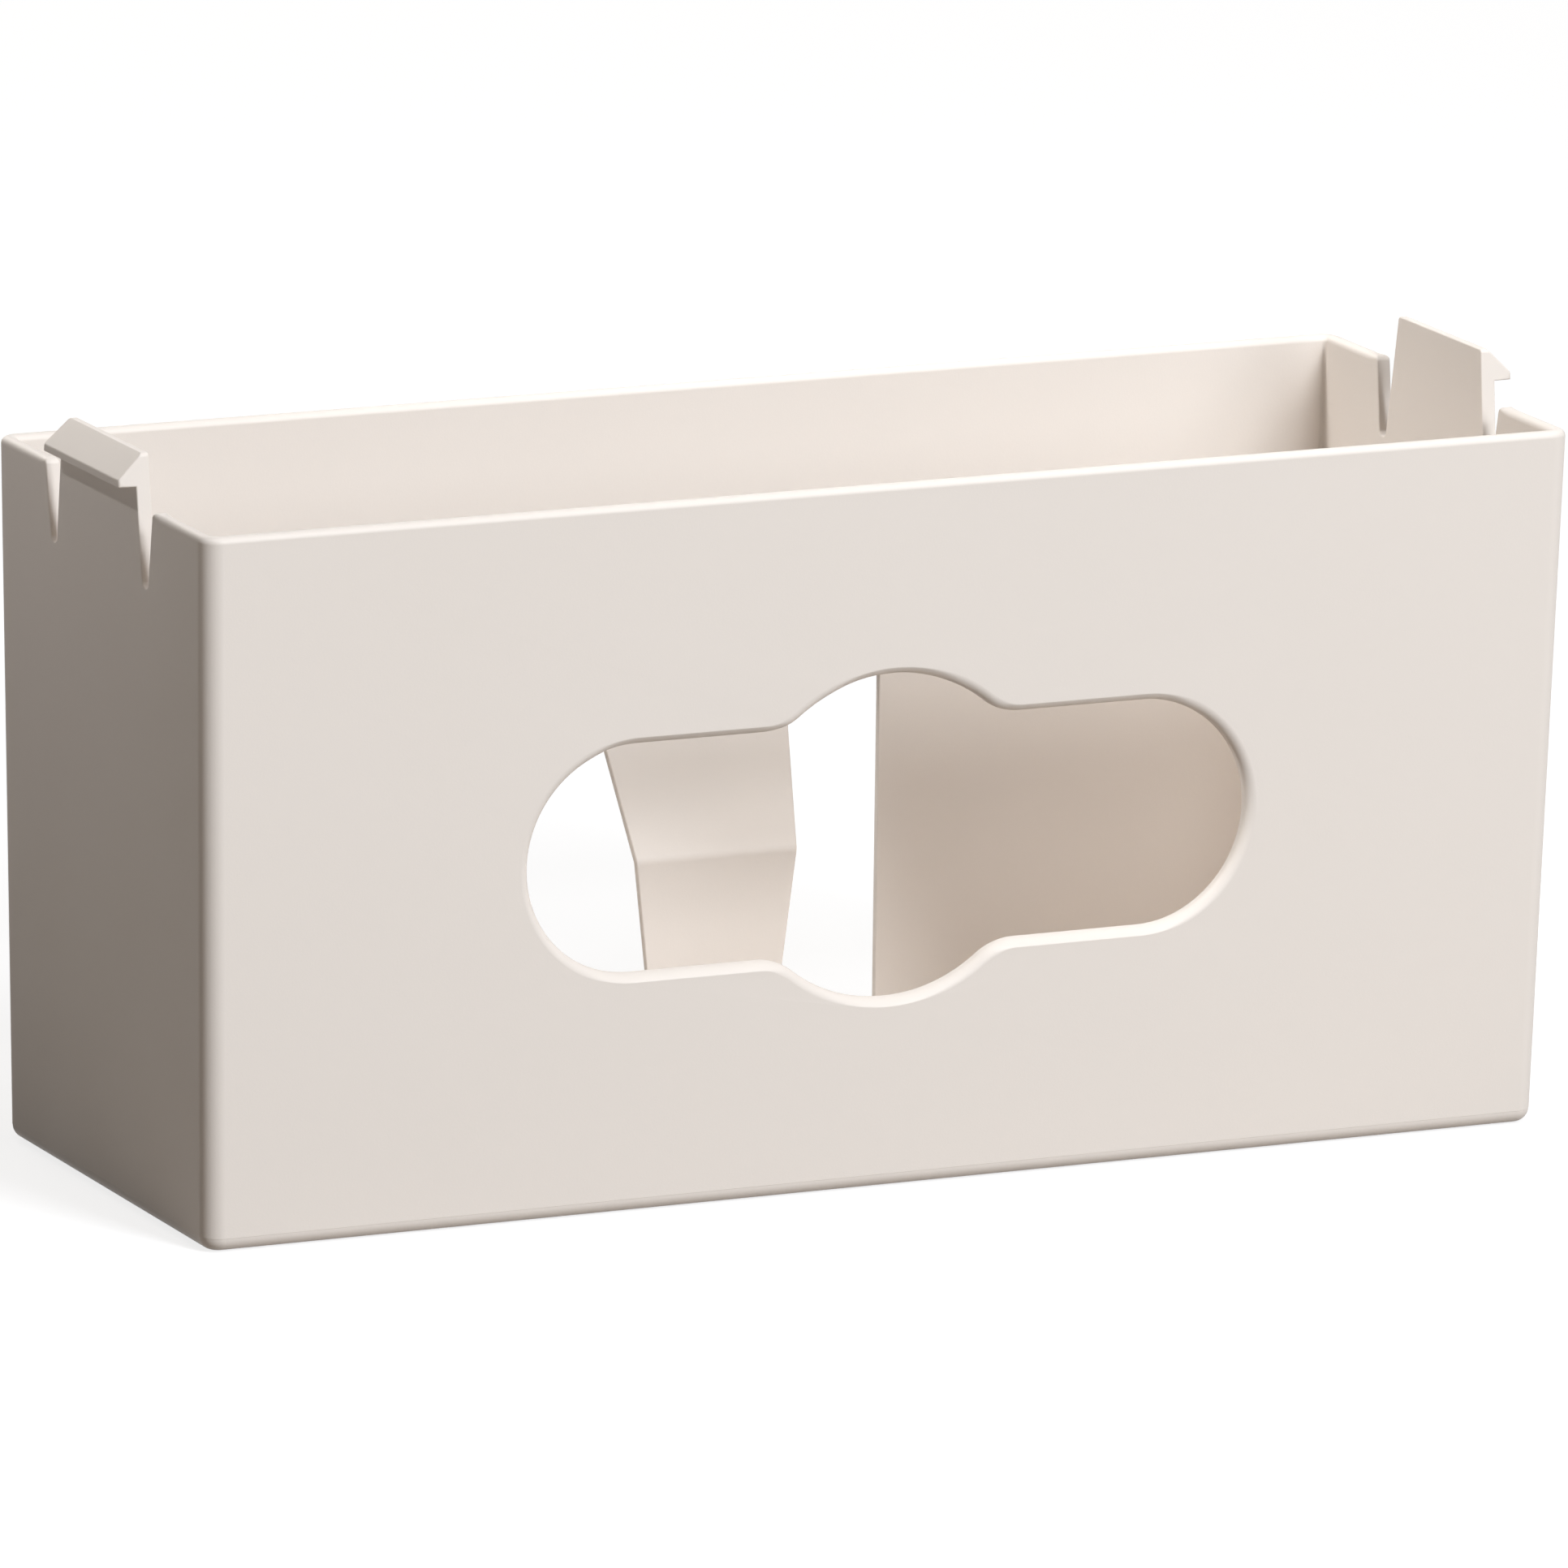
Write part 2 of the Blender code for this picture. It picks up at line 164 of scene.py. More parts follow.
def fillet(edge, normal_a, normal_b, radius, steps):
    """Points round off an edge, from the face with normal_a to the face with normal_b."""
    centre = edge - (normal_a + normal_b) * (radius / (1 + normal_a.dot(normal_b)))
    return [centre + radius * normal_a.slerp(normal_b, i / steps) for i in range(steps + 1)]


def arc_stations(centre, radius, start, sweep, steps):
    """(point, normal) pairs along an arc, the normal pointing to the left of travel."""
    turn = math.copysign(1.0, sweep)
    stations = []
    for i in range(steps + 1):
        angle = start + sweep * i / steps
        radial = Vector((math.cos(angle), math.sin(angle)))
        stations.append((Vector(centre) + radius * radial, -turn * radial))
    return stations


def corner_stations(before, corner, after, radius, steps):
    """The arc that rounds off one corner of a path, as (point, normal) pairs."""
    to_before = (Vector(before) - Vector(corner)).normalized()
    to_after = (Vector(after) - Vector(corner)).normalized()
    half_angle = to_before.angle(to_after) / 2
    centre = Vector(corner) + (to_before + to_after).normalized() * (radius / math.sin(half_angle))
    first = Vector(corner) + to_before * (radius / math.tan(half_angle)) - centre
    last = Vector(corner) + to_after * (radius / math.tan(half_angle)) - centre
    start = math.atan2(first.y, first.x)
    sweep = (math.atan2(last.y, last.x) - start + math.pi) % (2 * math.pi) - math.pi
    return arc_stations(centre, radius, start, sweep, steps)


def add_strip(mesh_builder, rows, closed=False):
    """Quads between neighbouring rows of points."""
    vertex_rows = [[mesh_builder.verts.new(p) for p in row] for row in rows]
    if closed:
        vertex_rows.append(vertex_rows[0])
    for row, next_row in zip(vertex_rows, vertex_rows[1:]):
        for i in range(len(row) - 1):
            mesh_builder.faces.new((row[i], row[i + 1], next_row[i + 1], next_row[i]))


def add_flat(mesh_builder, loops):
    """Flat face inside the first loop of points, with the other loops as holes."""
    vertices = [mesh_builder.verts.new(p) for loop in loops for p in loop]
    for triangle in tessellate_polygon(loops):
        mesh_builder.faces.new([vertices[i] for i in triangle])


def mirrored(points, x_sign, y_sign):
    """The points mirrored into another quarter of the bin."""
    return [Vector((x_sign * p.x, y_sign * p.y, p.z)) for p in points]


def plan_corner(inset, z):
    """The vertical corner at +X and -Y in plan, this far inside the outer faces.

    Its points run from the front wall to the end wall, each with the angle that it faces.
    """
    radius = CORNER_RADIUS - inset if inset < WALL else INNER_CORNER_RADIUS
    centre = Vector((half_length(z) - inset - radius, radius + inset - half_depth(z), z))
    angles = [QUARTER * i / CORNER_STEPS - QUARTER for i in range(CORNER_STEPS + 1)]
    return [(centre + radius * Vector((math.cos(a), math.sin(a), 0.0)), a) for a in angles]


def plan_ring(inset, z):
    """Closed ring round the bin, this far inside the outer faces."""
    corner = [point for point, angle in plan_corner(inset, z)]
    right_back = mirrored(reversed(corner), 1, -1)
    left_back = mirrored(corner, -1, -1)
    left_front = mirrored(reversed(corner), -1, 1)
    return corner + right_back + left_back + left_front


def add_rings(mesh_builder, rings):
    """Bands between closed rings of points."""
    add_strip(mesh_builder, [list(column) for column in zip(*rings)], closed=True)


def tab_half_width(z):
    """Half the tab's width at a height, its rounded top corners left aside."""
    return TAB_WIDTH / 2 - (z - HEIGHT) * math.tan(TAB_SIDE_LEAN)


def ridge_x():
    """Where the slope over the hook ends at the tab's top, measured from the bin's middle."""
    return half_length(TAB_TOP) - WALL + TAB_TOP_THICKNESS


def slope_rise():
    """How far the slope over the hook drops for each unit that it runs outwards."""
    return (TAB_RISE - HOOK_UNDERSIDE_RISE - HOOK_NOSE_HEIGHT) / (HOOK_NOSE_X - ridge_x())


def top_edge_path():
    """The top edge in one half of the right end wall, as (y, z) stations from the rim to the tab's middle.

    Returns the stations that lead to the slot and round its mouth, those of its end, and those of the tab's
    top corner.
    """
    far_y = -TAB_WIDTH / 2 - SLOT_WIDTH
    slot_bottom = HEIGHT - SLOT_DEPTH
    rim_start = (-RIM_DEPTH / 2 + CORNER_RADIUS, HEIGHT)
    far_top = (far_y, HEIGHT)
    far_foot = (far_y + SLOT_DEPTH * math.tan(SLOT_SIDE_LEAN), slot_bottom)
    tab_foot = (-tab_half_width(slot_bottom), slot_bottom)
    tab_head = (-tab_half_width(TAB_TOP), TAB_TOP)
    mouth = corner_stations(rim_start, far_top, far_foot, SLOT_MOUTH_RADIUS, 2 * SMALL_EDGE_STEPS)
    mouth_start, mouth_normal = mouth[0]
    lead = []
    for i in range(FADE_STEPS):
        before = Vector((RIM_FADE_LENGTH * (1 - i / FADE_STEPS), 0.0))
        lead.append((mouth_start - before, mouth_normal))
    slot_end = corner_stations(far_top, far_foot, tab_foot, SLOT_END_RADIUS, EDGE_STEPS)
    slot_end += corner_stations(far_foot, tab_foot, tab_head, SLOT_END_RADIUS, EDGE_STEPS)
    top_corner = corner_stations(tab_foot, tab_head, (0.0, TAB_TOP), TAB_TOP_RADIUS, 2 * SMALL_EDGE_STEPS)
    return lead + mouth, slot_end, top_corner


def smooth_step(t):
    """Goes smoothly from 0 to 1."""
    t = min(max(t, 0.0), 1.0)
    return t * t * (3 - 2 * t)


def end_wall_station(station, radius):
    """The rounded outer and inner edges across the right end wall at one (y, z) station."""
    (y, z), normal = station
    band = Vector((0.0, normal[0], normal[1]))
    face = wall_normal(0.0)
    outer_edge = Vector((half_length(z), y, z))
    inner_edge = Vector((half_length(z) - WALL, y, z))
    outer_arc = fillet(outer_edge, face, band, radius, EDGE_STEPS)
    inner_arc = fillet(inner_edge, band, -face, radius, EDGE_STEPS)
    return outer_arc, inner_arc


def rim_stations():
    """The round rim from the middle of the front wall to the start of the right end wall."""
    outer_corner = plan_corner(0.0, HEIGHT)
    inner_corner = plan_corner(WALL, HEIGHT)
    rows = []
    for (outer, angle), (inner, _) in zip(outer_corner, inner_corner):
        face = wall_normal(angle)
        outer_arc = fillet(outer, face, UP, RIM_EDGE_RADIUS, EDGE_STEPS)
        inner_arc = fillet(inner, UP, -face, RIM_EDGE_RADIUS, EDGE_STEPS)
        rows.append((outer_arc, inner_arc))
    return rows


def hook_section():
    """(point, normal) pairs round the hook's nose in section, from its underside to the slope over it.

    Points and normals are (x, z).
    """
    root = (half_length(HOOK_UNDERSIDE), HOOK_UNDERSIDE)
    foot = (HOOK_NOSE_X, HOOK_UNDERSIDE)
    head = (HOOK_NOSE_X, HOOK_NOSE_TOP)
    ridge = (ridge_x(), TAB_TOP)
    lower = corner_stations(root, foot, head, HOOK_FOOT_RADIUS, SMALL_EDGE_STEPS)
    upper = corner_stations(foot, head, ridge, HOOK_SLOPE_RADIUS, EDGE_STEPS)
    return [(point, -normal) for point, normal in lower + upper]


def hook_rows():
    """Rounded side edges of the hook, as rows from its faces to the tab's side, and the slope's normal.

    The first and last rows have the small radius of the edges that they join.
    """
    face = wall_normal(0.0)
    face_section = Vector((face.x, face.z)).normalized()
    down = Vector((0.0, -1.0))
    mitre = (face_section + down) / (1 + face_section.dot(down))
    root = Vector((half_length(HOOK_UNDERSIDE), HOOK_UNDERSIDE))
    section = [(root, mitre)] + hook_section()
    rows = []
    for point, normal in section:
        radius = HOOK_SIDE_RADIUS if 0 < len(rows) < len(section) - 1 else SMALL_EDGE_RADIUS
        row = []
        for i in range(EDGE_STEPS + 1):
            angle = QUARTER * i / EDGE_STEPS
            sunk = point - normal * (radius * (1 - math.cos(angle)))
            y = radius * (1 - math.sin(angle)) - tab_half_width(sunk.y)
            row.append(Vector((sunk.x, y, sunk.y)))
        rows.append(row)
    slope_section = section[-1][1]
    return rows, Vector((slope_section.x, 0.0, slope_section.y))


def build_top_rows():
    """The round rim, the slot, the hook and the tab's top corner in one quarter of the bin."""
    to_slot, slot_end, top_corner = top_edge_path()
    rows = rim_stations()
    for i, station in enumerate(to_slot):
        share = smooth_step(i / (len(to_slot) - 1))
        radius = RIM_EDGE_RADIUS + share * (SMALL_EDGE_RADIUS - RIM_EDGE_RADIUS)
        rows.append(end_wall_station(station, radius))
    rows += [end_wall_station(station, SMALL_EDGE_RADIUS) for station in slot_end]
    hook, slope_normal = hook_rows()
    slope = []
    for (y, z), normal in top_corner:
        band = Vector((0.0, normal[0], normal[1]))
        edge = Vector((ridge_x() + (TAB_TOP - z) / slope_rise(), y, z))
        slope.append(fillet(edge, slope_normal, band, SMALL_EDGE_RADIUS, EDGE_STEPS))
    corner = [end_wall_station(station, SMALL_EDGE_RADIUS)[1] for station in top_corner]
    return TopRows([outer for outer, inner in rows], [inner for outer, inner in rows], hook, slope, corner)


def add_quarter(mesh_builder, top, x_sign, y_sign):
    """One quarter of the walls' top: rim, slot and half a tab, as far as the flat faces."""

    def place(rows):
        return [mirrored(row, x_sign, y_sign) for row in rows]

    add_strip(mesh_builder, place(top.outer + top.hook + top.slope))
    add_strip(mesh_builder, place(top.inner + top.corner))
    add_strip(mesh_builder, place([[outer[-1], inner[0]] for outer, inner in zip(top.outer, top.inner)]))
    side = [top.outer[-1][-1]] + [row[-1] for row in top.hook] + [top.slope[0][-1]]
    side += [top.corner[0][0], top.inner[-1][0]]
    add_flat(mesh_builder, place([side]))
    add_strip(mesh_builder, place([[outer[-1], inner[0]] for outer, inner in zip(top.slope, top.corner)]))


def add_tab_faces(mesh_builder, top, x_sign):
    """The faces of a tab that run from one of its sides to the other."""

    def across(points):
        return [mirrored(points, x_sign, 1), mirrored(points, x_sign, -1)]

    add_strip(mesh_builder, across([row[0] for row in top.hook]))
    near, far = across([top.hook[-1][0]] + [row[0] for row in top.slope])
    add_flat(mesh_builder, [near + far[::-1]])
    add_strip(mesh_builder, across(top.slope[-1]))
    add_strip(mesh_builder, across([top.slope[-1][-1], top.corner[-1][0]]))
    add_strip(mesh_builder, across(top.corner[-1]))


def lip_section(outer, face, band):
    """Rounded outer edge of a hole: a plain round where it runs upright, a flatter arc where it runs level.

    The flatter arc runs nearly through the wall and meets its face at an angle, which a small round softens.
    """
    plain = fillet(outer, face, band, LIP_RADIUS, EDGE_STEPS)
    foot_steps = EDGE_STEPS // 3
    foot = outer - band * (LIP_ARC_RADIUS * (1 - math.cos(LIP_ARC_ANGLE)))
    arc_start = band.slerp(face, LIP_ARC_ANGLE / band.angle(face))
    flatter = fillet(foot, face, arc_start, SMALL_EDGE_RADIUS, foot_steps)
    centre = outer - band * LIP_ARC_RADIUS - face * (LIP_ARC_RADIUS * math.sin(LIP_ARC_ANGLE))
    arc_steps = EDGE_STEPS - foot_steps
    for i in range(1, arc_steps + 1):
        flatter.append(centre + LIP_ARC_RADIUS * arc_start.slerp(band, i / arc_steps))
    level = smooth_step((abs(band.z) - LIP_LEVEL_START) / (1 - LIP_LEVEL_START))
    return [plain_point.lerp(flatter_point, level) for plain_point, flatter_point in zip(plain, flatter)]


def add_hole(mesh_builder, side, stations, centre_z):
    """The edge of a hole through the front (side -1) or back (side 1) wall.

    Returns its lines on the outer and inner face.
    """
    face = wall_normal(side * QUARTER)
    rows = []
    for (x, z), normal in stations:
        height = centre_z + z
        band = Vector((normal[0], 0.0, normal[1]))
        outer = Vector((x, side * half_depth(height), height))
        inner = Vector((x, side * (half_depth(height) - WALL), height))
        row = lip_section(outer, face, band)
        row += fillet(inner, band, -face, SMALL_EDGE_RADIUS, SMALL_EDGE_STEPS)
        rows.append(row)
    add_strip(mesh_builder, rows, closed=True)
    return [row[0] for row in rows], [row[-1] for row in rows]


def opening_stations():
    """Outline of the dispensing opening about its centre: a slot with round ends and a circle in it."""
    end_radius = OPENING_HEIGHT / 2
    centre_radius = OPENING_CENTRE_DIAMETER / 2
    end_centre = OPENING_LENGTH / 2 - end_radius
    fillet_z = end_radius + OPENING_FILLET
    fillet_x = math.sqrt((centre_radius + OPENING_FILLET) ** 2 - fillet_z**2)
    lean = math.atan2(fillet_z, fillet_x)
    upper = arc_stations((end_centre, 0.0), end_radius, -QUARTER, math.pi, 2 * OUTLINE_STEPS)
    upper += arc_stations((fillet_x, fillet_z), OPENING_FILLET, -QUARTER, lean - QUARTER, BEND_STEPS)
    upper += arc_stations((0.0, 0.0), centre_radius, lean, math.pi - 2 * lean, OUTLINE_STEPS)[1:-1]
    upper += arc_stations((-fillet_x, fillet_z), OPENING_FILLET, -lean, lean - QUARTER, BEND_STEPS)
    return upper + [(-point, -normal) for point, normal in upper]


def window_stations():
    """Outline of the back window: a rectangle with rounded corners."""
    x = WINDOW_WIDTH / 2
    low = WINDOW_SILL_HEIGHT
    corners = [(-x, low), (x, low), (x, WINDOW_TOP), (-x, WINDOW_TOP)]
    stations = []
    for i, corner in enumerate(corners):
        after = corners[(i + 1) % len(corners)]
        stations += corner_stations(corners[i - 1], corner, after, WINDOW_CORNER_RADIUS, BEND_STEPS)
    return stations


def edge_rings(inset, z, radius):
    """Rings round a quarter turn, from a flat face at this height to a wall this far inside."""
    rings = []
    for i in range(EDGE_STEPS + 1):
        angle = QUARTER * i / EDGE_STEPS
        rings.append(plan_ring(inset + radius * (1 - math.sin(angle)), z + radius * (1 - math.cos(angle))))
    return rings


def add_bottoms(mesh_builder):
    """The underside and the floor with their round edges. Returns the rings where the walls' faces start."""
    outer_rings = edge_rings(MOULD_STEP, 0.0, BASE_EDGE_RADIUS)
    outer_rings.append(plan_ring(0.0, BASE_EDGE_RADIUS + MOULD_STEP))
    inner_rings = edge_rings(WALL, FLOOR, FLOOR_EDGE_RADIUS)
    for rings in (outer_rings, inner_rings):
        add_rings(mesh_builder, rings)
        add_flat(mesh_builder, [rings[0]])
    return outer_rings[-1], inner_rings[-1]


def add_corners_and_ends(mesh_builder, ring, line):
    """The walls' vertical corners and flat ends, between the ring at their foot and the line on top."""
    count = CORNER_STEPS + 1
    for x_sign in (-1, 1):
        for y_sign in (-1, 1):
            foot = mirrored(ring[:count], x_sign, y_sign)
            head = mirrored(line[:count], x_sign, y_sign)
            add_strip(mesh_builder, [foot, head])
        end_line = [ring[count - 1]] + line[count - 1:]
        near = mirrored(end_line, x_sign, 1)
        far = mirrored(end_line, x_sign, -1)
        add_flat(mesh_builder, [near + far[::-1]])


def add_long_face(mesh_builder, ring, line, hole, y_sign):
    """The flat face of the front (y_sign 1) or back (y_sign -1) wall, round its hole."""
    right = mirrored([ring[0], line[0]], 1, y_sign)
    left = mirrored([line[0], ring[0]], -1, y_sign)
    add_flat(mesh_builder, [right + left, hole])


def build_walls():
    """The bin without its tongue, as one closed mesh."""
    mesh_builder = bmesh.new()
    outer_ring, inner_ring = add_bottoms(mesh_builder)
    top = build_top_rows()
    for x_sign in (-1, 1):
        add_tab_faces(mesh_builder, top, x_sign)
        for y_sign in (-1, 1):
            add_quarter(mesh_builder, top, x_sign, y_sign)
    rim_row = top.outer[0] + top.inner[0]
    for y_sign in (-1, 1):
        add_strip(mesh_builder, [mirrored(rim_row, -1, y_sign), mirrored(rim_row, 1, y_sign)])

    outer_line = [row[0] for row in top.outer] + [top.hook[0][0]]
    inner_line = [row[-1] for row in top.inner + top.corner]
    skins = ((outer_ring, outer_line), (inner_ring, inner_line))
    for ring, line in skins:
        add_corners_and_ends(mesh_builder, ring, line)
    opening = add_hole(mesh_builder, -1, opening_stations(), HEIGHT / 2)
    window = add_hole(mesh_builder, 1, window_stations(), 0.0)
    for i, (ring, line) in enumerate(skins):
        add_long_face(mesh_builder, ring, line, opening[i], 1)
        add_long_face(mesh_builder, ring, line, window[i], -1)
    return mesh_builder


def to_object(name, mesh_builder):
    """Close the seams between the patches, turn every face outwards and link the mesh as an object."""
    bmesh.ops.remove_doubles(mesh_builder, verts=mesh_builder.verts, dist=MERGE_DISTANCE)
    bmesh.ops.recalc_face_normals(mesh_builder, faces=mesh_builder.faces)
    mesh = bpy.data.meshes.new(name)
    mesh_builder.to_mesh(mesh)
    mesh_builder.free()
    obj = bpy.data.objects.new(name, mesh)
    bpy.context.scene.collection.objects.link(obj)
    return obj


def tongue_line():
    """Middle line of the tongue, as (y, z) points from its root inside the wall down to its end."""
    crease_y = half_depth(TONGUE_CREASE_HEIGHT) - WALL - TONGUE_REACH + TONGUE_THICKNESS / 2
    inside_z = WINDOW_TOP + TONGUE_ROOT_OVERLAP
    top = (half_depth(inside_z) - WALL / 2, inside_z)
    root = (half_depth(WINDOW_TOP) - WALL / 2, WINDOW_TOP)
    crease = (crease_y, TONGUE_CREASE_HEIGHT)
    end = (crease_y, TONGUE_END_HEIGHT)
    line = [Vector(top)]
    line += [p for p, normal in corner_stations(top, root, crease, TONGUE_ROOT_BEND, BEND_STEPS)]
    crease_radius = TONGUE_CREASE_BEND + TONGUE_THICKNESS / 2
    line += [p for p, normal in corner_stations(root, crease, end, crease_radius, BEND_STEPS)]
    corner_z = TONGUE_END_HEIGHT + TONGUE_END_RADIUS
    for i in range(2 * BEND_STEPS):
        angle = QUARTER * i / (2 * BEND_STEPS)
        line.append(Vector((crease_y, corner_z - TONGUE_END_RADIUS * math.sin(angle))))
    return line


def tongue_half_width(z):
    """Half the tongue's width at a height, its end corners rounded."""
    if z > TONGUE_TAPER_HEIGHT:
        share = (z - TONGUE_TAPER_HEIGHT) / (WINDOW_TOP - TONGUE_TAPER_HEIGHT)
        width = TONGUE_CREASE_WIDTH + share * (TONGUE_ROOT_WIDTH - TONGUE_CREASE_WIDTH)
    else:
        share = (z - TONGUE_END_HEIGHT) / (TONGUE_TAPER_HEIGHT - TONGUE_END_HEIGHT)
        width = TONGUE_END_WIDTH + share * (TONGUE_CREASE_WIDTH - TONGUE_END_WIDTH)
    drop = max(TONGUE_END_HEIGHT + TONGUE_END_RADIUS - z, 0.0)
    return width / 2 - TONGUE_END_RADIUS + math.sqrt(max(TONGUE_END_RADIUS**2 - drop**2, 0.0))


def tongue_section(half_width):
    """Half the tongue's section as (x, distance behind its middle) points, from its front to its back."""
    half = TONGUE_THICKNESS / 2
    front = (half_width, -half)
    back = (half_width, half)
    section = corner_stations((0, -half), front, back, SMALL_EDGE_RADIUS, SMALL_EDGE_STEPS)
    section += corner_stations(front, back, (0, half), TONGUE_BACK_EDGE_RADIUS, EDGE_STEPS)
    return [p for p, normal in section]


def build_tongue():
    """The leaf spring, swept down its middle line, as one closed mesh."""
    line = tongue_line()
    mesh_builder = bmesh.new()
    rings = []
    for i, point in enumerate(line):
        along = (line[min(i + 1, len(line) - 1)] - line[max(i - 1, 0)]).normalized()
        behind = Vector((0.0, -along.y, along.x))
        middle = Vector((0.0, point.x, point.y))
        section = tongue_section(tongue_half_width(point.y))
        right = [middle + behind * distance + Vector((x, 0.0, 0.0)) for x, distance in section]
        rings.append(right + mirrored(reversed(right), -1, 1))
    add_rings(mesh_builder, rings)
    add_flat(mesh_builder, [rings[0]])
    add_flat(mesh_builder, [rings[-1]])
    return mesh_builder


def join_solids(body, tool):
    """Fuse a second solid into the body and drop the object that it came from."""
    boolean = body.modifiers.new("join_" + tool.name, "BOOLEAN")
    boolean.operation = "UNION"
    boolean.solver = "EXACT"
    boolean.object = tool
    depsgraph = bpy.context.evaluated_depsgraph_get()
    body.data = bpy.data.meshes.new_from_object(body.evaluated_get(depsgraph))
    body.modifiers.clear()
    bpy.data.objects.remove(tool)


def smooth_shading(obj):
    """Smooth the round stretches, with flat faces kept flat and real edges kept sharp."""
    obj.data.shade_smooth()
    obj.data.set_sharp_from_angle(angle=SHARP_ANGLE)
    weighted = obj.modifiers.new("flat_faces", "WEIGHTED_NORMAL")
    weighted.keep_sharp = True


# Off-white plastic: colour with faint clouds, satin gloss and the fine grain of the mould
PLASTIC_COLOUR = (0.795, 0.733, 0.675, 1.0)
PLASTIC_CLOUD_COLOUR = (0.785, 0.723, 0.663, 1.0)
PLASTIC_ROUGHNESS = (0.40, 0.47)
PLASTIC_SPECULAR = 0.25
CLOUDS_PER_METRE = 22.0
CLOUD_DETAIL = 3.0
GLOSS_PATCHES_PER_METRE = 70.0
GLOSS_DETAIL = 4.0
GRAINS_PER_METRE = 2600.0
GRAIN_DETAIL = 2.0
GRAIN_DEPTH = 0.00003
GRAIN_STRENGTH = 0.35


def noise_node(nodes, links, place, scale, detail):
    """Noise in the object's own metres."""
    noise = nodes.new("ShaderNodeTexNoise")
    noise.inputs["Scale"].default_value = scale
    noise.inputs["Detail"].default_value = detail
    links.new(place.outputs["Object"], noise.inputs["Vector"])
    return noise.outputs["Fac"]


def make_plastic():
    """Satin off-white plastic with a very fine grain."""
    material = bpy.data.materials.new("off_white_plastic")
    material.use_nodes = True
    nodes = material.node_tree.nodes
    links = material.node_tree.links
    shader = nodes["Principled BSDF"]
    shader.inputs["Specular IOR Level"].default_value = PLASTIC_SPECULAR
    place = nodes.new("ShaderNodeTexCoord")

    clouds = nodes.new("ShaderNodeMix")
    clouds.data_type = "RGBA"
    clouds.inputs["A"].default_value = PLASTIC_COLOUR
    clouds.inputs["B"].default_value = PLASTIC_CLOUD_COLOUR
    links.new(noise_node(nodes, links, place, CLOUDS_PER_METRE, CLOUD_DETAIL), clouds.inputs["Factor"])
    links.new(clouds.outputs["Result"], shader.inputs["Base Color"])

    gloss = nodes.new("ShaderNodeMapRange")
    gloss.inputs["To Min"].default_value = PLASTIC_ROUGHNESS[0]
    gloss.inputs["To Max"].default_value = PLASTIC_ROUGHNESS[1]
    patches = noise_node(nodes, links, place, GLOSS_PATCHES_PER_METRE, GLOSS_DETAIL)
    links.new(patches, gloss.inputs["Value"])
    links.new(gloss.outputs["Result"], shader.inputs["Roughness"])

    grain = nodes.new("ShaderNodeBump")
    grain.inputs["Strength"].default_value = GRAIN_STRENGTH
    grain.inputs["Distance"].default_value = GRAIN_DEPTH
    links.new(noise_node(nodes, links, place, GRAINS_PER_METRE, GRAIN_DETAIL), grain.inputs["Height"])
    links.new(grain.outputs["Normal"], shader.inputs["Normal"])
    return material


def build_moulding():
    """The whole dispenser, dressed."""
    body = to_object("moulding", build_walls())
    join_solids(body, to_object("tongue", build_tongue()))
    body.data.materials.append(make_plastic())
    smooth_shading(body)
    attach(body, "root")
    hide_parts("dispenser_body")


# Camera, fitted to the photograph
CAMERA_AZIMUTH = math.radians(-25.402)
CAMERA_ELEVATION = math.radians(13.021)
CAMERA_ROLL = math.radians(1.079)
CAMERA_DISTANCE = 2.880
CAMERA_PAN = Vector((-0.0017, -0.06053))
CAMERA_LENS = 376.24
CAMERA_CLIP_END = 20.0


def add_camera():
    """Long lens at the photograph's viewing angle."""
    back = Vector((
        math.sin(CAMERA_AZIMUTH) * math.cos(CAMERA_ELEVATION),
        -math.cos(CAMERA_AZIMUTH) * math.cos(CAMERA_ELEVATION),
        math.sin(CAMERA_ELEVATION),
    ))
    right = UP.cross(back).normalized()
    up = back.cross(right)
    rotation = Matrix((right, up, back)).transposed() @ Matrix.Rotation(CAMERA_ROLL, 3, "Z")
    place = rotation @ Vector((-CAMERA_PAN.x, -CAMERA_PAN.y, CAMERA_DISTANCE))
    camera = bpy.data.objects.new("camera", bpy.data.cameras.new("camera"))
    camera.data.lens = CAMERA_LENS
    camera.data.clip_end = CAMERA_CLIP_END
    camera.matrix_world = Matrix.Translation(place) @ rotation.to_4x4()
    bpy.context.scene.collection.objects.link(camera)
    bpy.context.scene.camera = camera


# Studio lamps at (azimuth, elevation) in degrees. Azimuth 0 is in front of the bin and 90 is to its right.
# The key light is a column of three soft boxes, and a spot from the left lights the inside of the right end.
KEY_PLACES = ((22, 16), (16, 33), (15, 53))
KEY_POWERS = (19.5, 47.0, 23.5)
KEY_WIDTH = 0.75
KEY_COLOUR = (0.97, 1.01, 1.06)
TOP_PLACE = (0, 80)
TOP_POWER = 11.5
TOP_WIDTH = 1.0
TOP_COLOUR = (1.0, 1.0, 1.02)
LEFT_PLACE = (-50, 66)
LEFT_POWER = 3.5
LEFT_WIDTH = 1.0
LEFT_COLOUR = (1.2, 1.0, 0.8)
BACK_PLACE = (180, 22)
BACK_POWER = 20.0
BACK_WIDTH = 1.5
BACK_COLOUR = (1.07, 1.0, 0.93)
LAMP_DISTANCE = 3.0
INSIDE_PLACE = (-100, 49)
INSIDE_POWER = 108.0
INSIDE_TARGET = Vector((0.11, 0.015, 0.065))
INSIDE_DISTANCE = 1.5
INSIDE_CONE = math.radians(10)
INSIDE_WIDTH = 0.12
INSIDE_BLEND = 1.0


